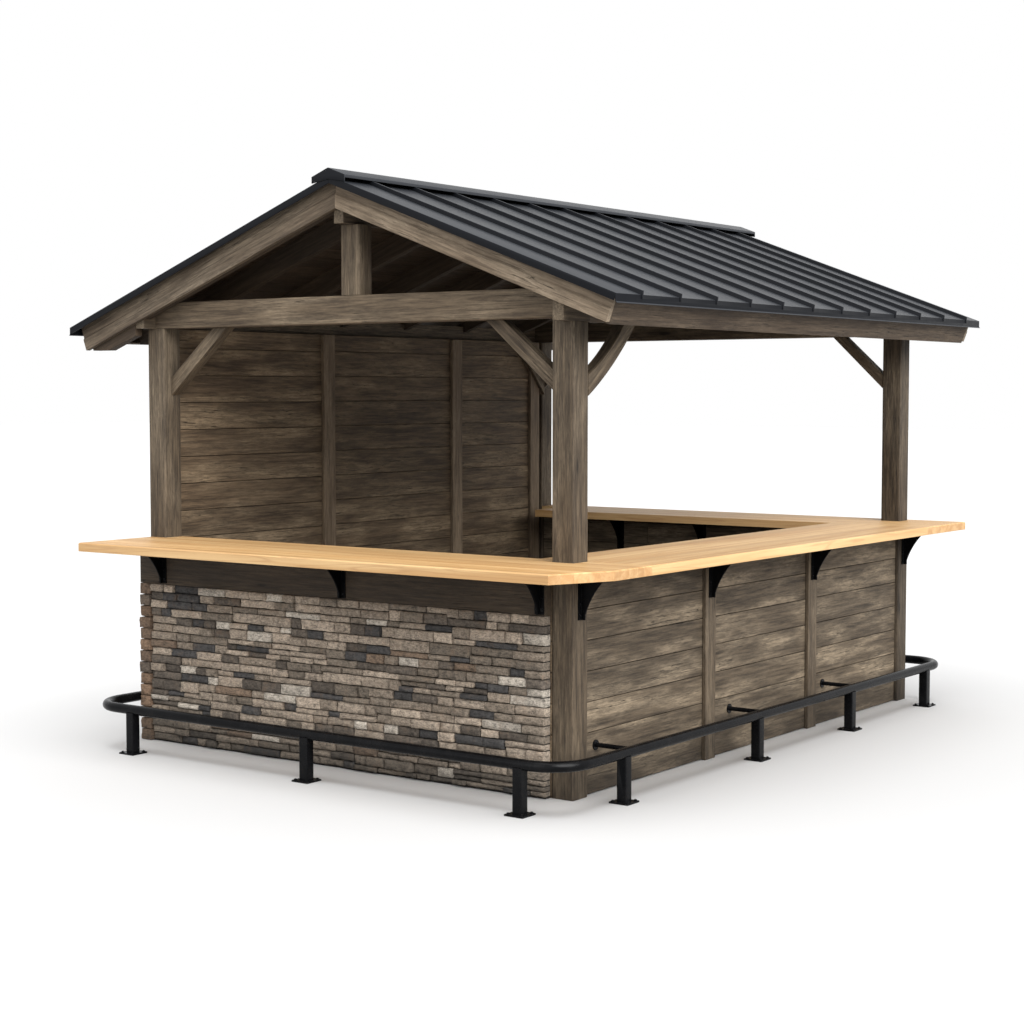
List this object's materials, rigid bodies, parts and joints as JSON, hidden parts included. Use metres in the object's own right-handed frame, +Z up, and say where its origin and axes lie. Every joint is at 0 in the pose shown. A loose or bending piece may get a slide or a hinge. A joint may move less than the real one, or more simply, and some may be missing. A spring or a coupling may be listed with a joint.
{
  "type": "garden bar pavilion",
  "caption": "Open timber bar pavilion with a gabled standing seam metal roof, a stone faced front, clad sides, timber counters on three sides and a round metal foot rail.",
  "frame": {"origin": "on the ground below the middle of the whole pavilion's bounding box", "axes": "+X to the right seen from the stone faced gable front, +Y along the ridge from that front to the back, +Z up"},
  "size_m": [3.5024, 4.361, 2.9148],
  "materials": {
    "barge_timber": "satin",
    "cladding": "satin",
    "counter_timber": "satin",
    "deck_timber": "matte",
    "ledgestone": "rough",
    "rail_metal": "satin",
    "roof_steel": "satin",
    "timber_frame": "satin"
  },
  "bodies": {
    "root": {"back_wall": "cladding", "barge_back_left": "barge_timber", "barge_back_right": "barge_timber", "barge_front_left": "barge_timber", "barge_front_right": "barge_timber", "braces_back": "timber_frame", "braces_front": "timber_frame", "braces_side": "timber_frame", "brackets_back": "rail_metal", "brackets_front": "rail_metal", "brackets_right": "rail_metal", "counter_back": "counter_timber", "counter_front": "counter_timber", "counter_right": "counter_timber", "eave_beam_left": "timber_frame", "eave_beam_right": "timber_frame", "fascia_left": "barge_timber", "fascia_right": "barge_timber", "foot_rail": "rail_metal", "front_trim_board": "cladding", "front_wall": "cladding", "gable_rafters_back": "timber_frame", "gable_rafters_front": "timber_frame", "king_post_back": "timber_frame", "king_post_front": "timber_frame", "left_wall": "cladding", "post_back_left": "timber_frame", "post_back_right": "timber_frame", "post_front_left": "timber_frame", "post_front_right": "timber_frame", "rafters_left": "timber_frame", "rafters_right": "timber_frame", "rail_legs_front": "rail_metal", "rail_legs_right": "rail_metal", "rail_stays": "rail_metal", "ridge_beam": "timber_frame", "ridge_cap": "roof_steel", "right_wall": "cladding", "roof_deck_left": "deck_timber", "roof_deck_right": "deck_timber", "roof_sheet_left": "roof_steel", "roof_sheet_right": "roof_steel", "stone_facing": "ledgestone", "tie_beam_back": "timber_frame", "tie_beam_front": "timber_frame"}
  },
  "joints": []
}
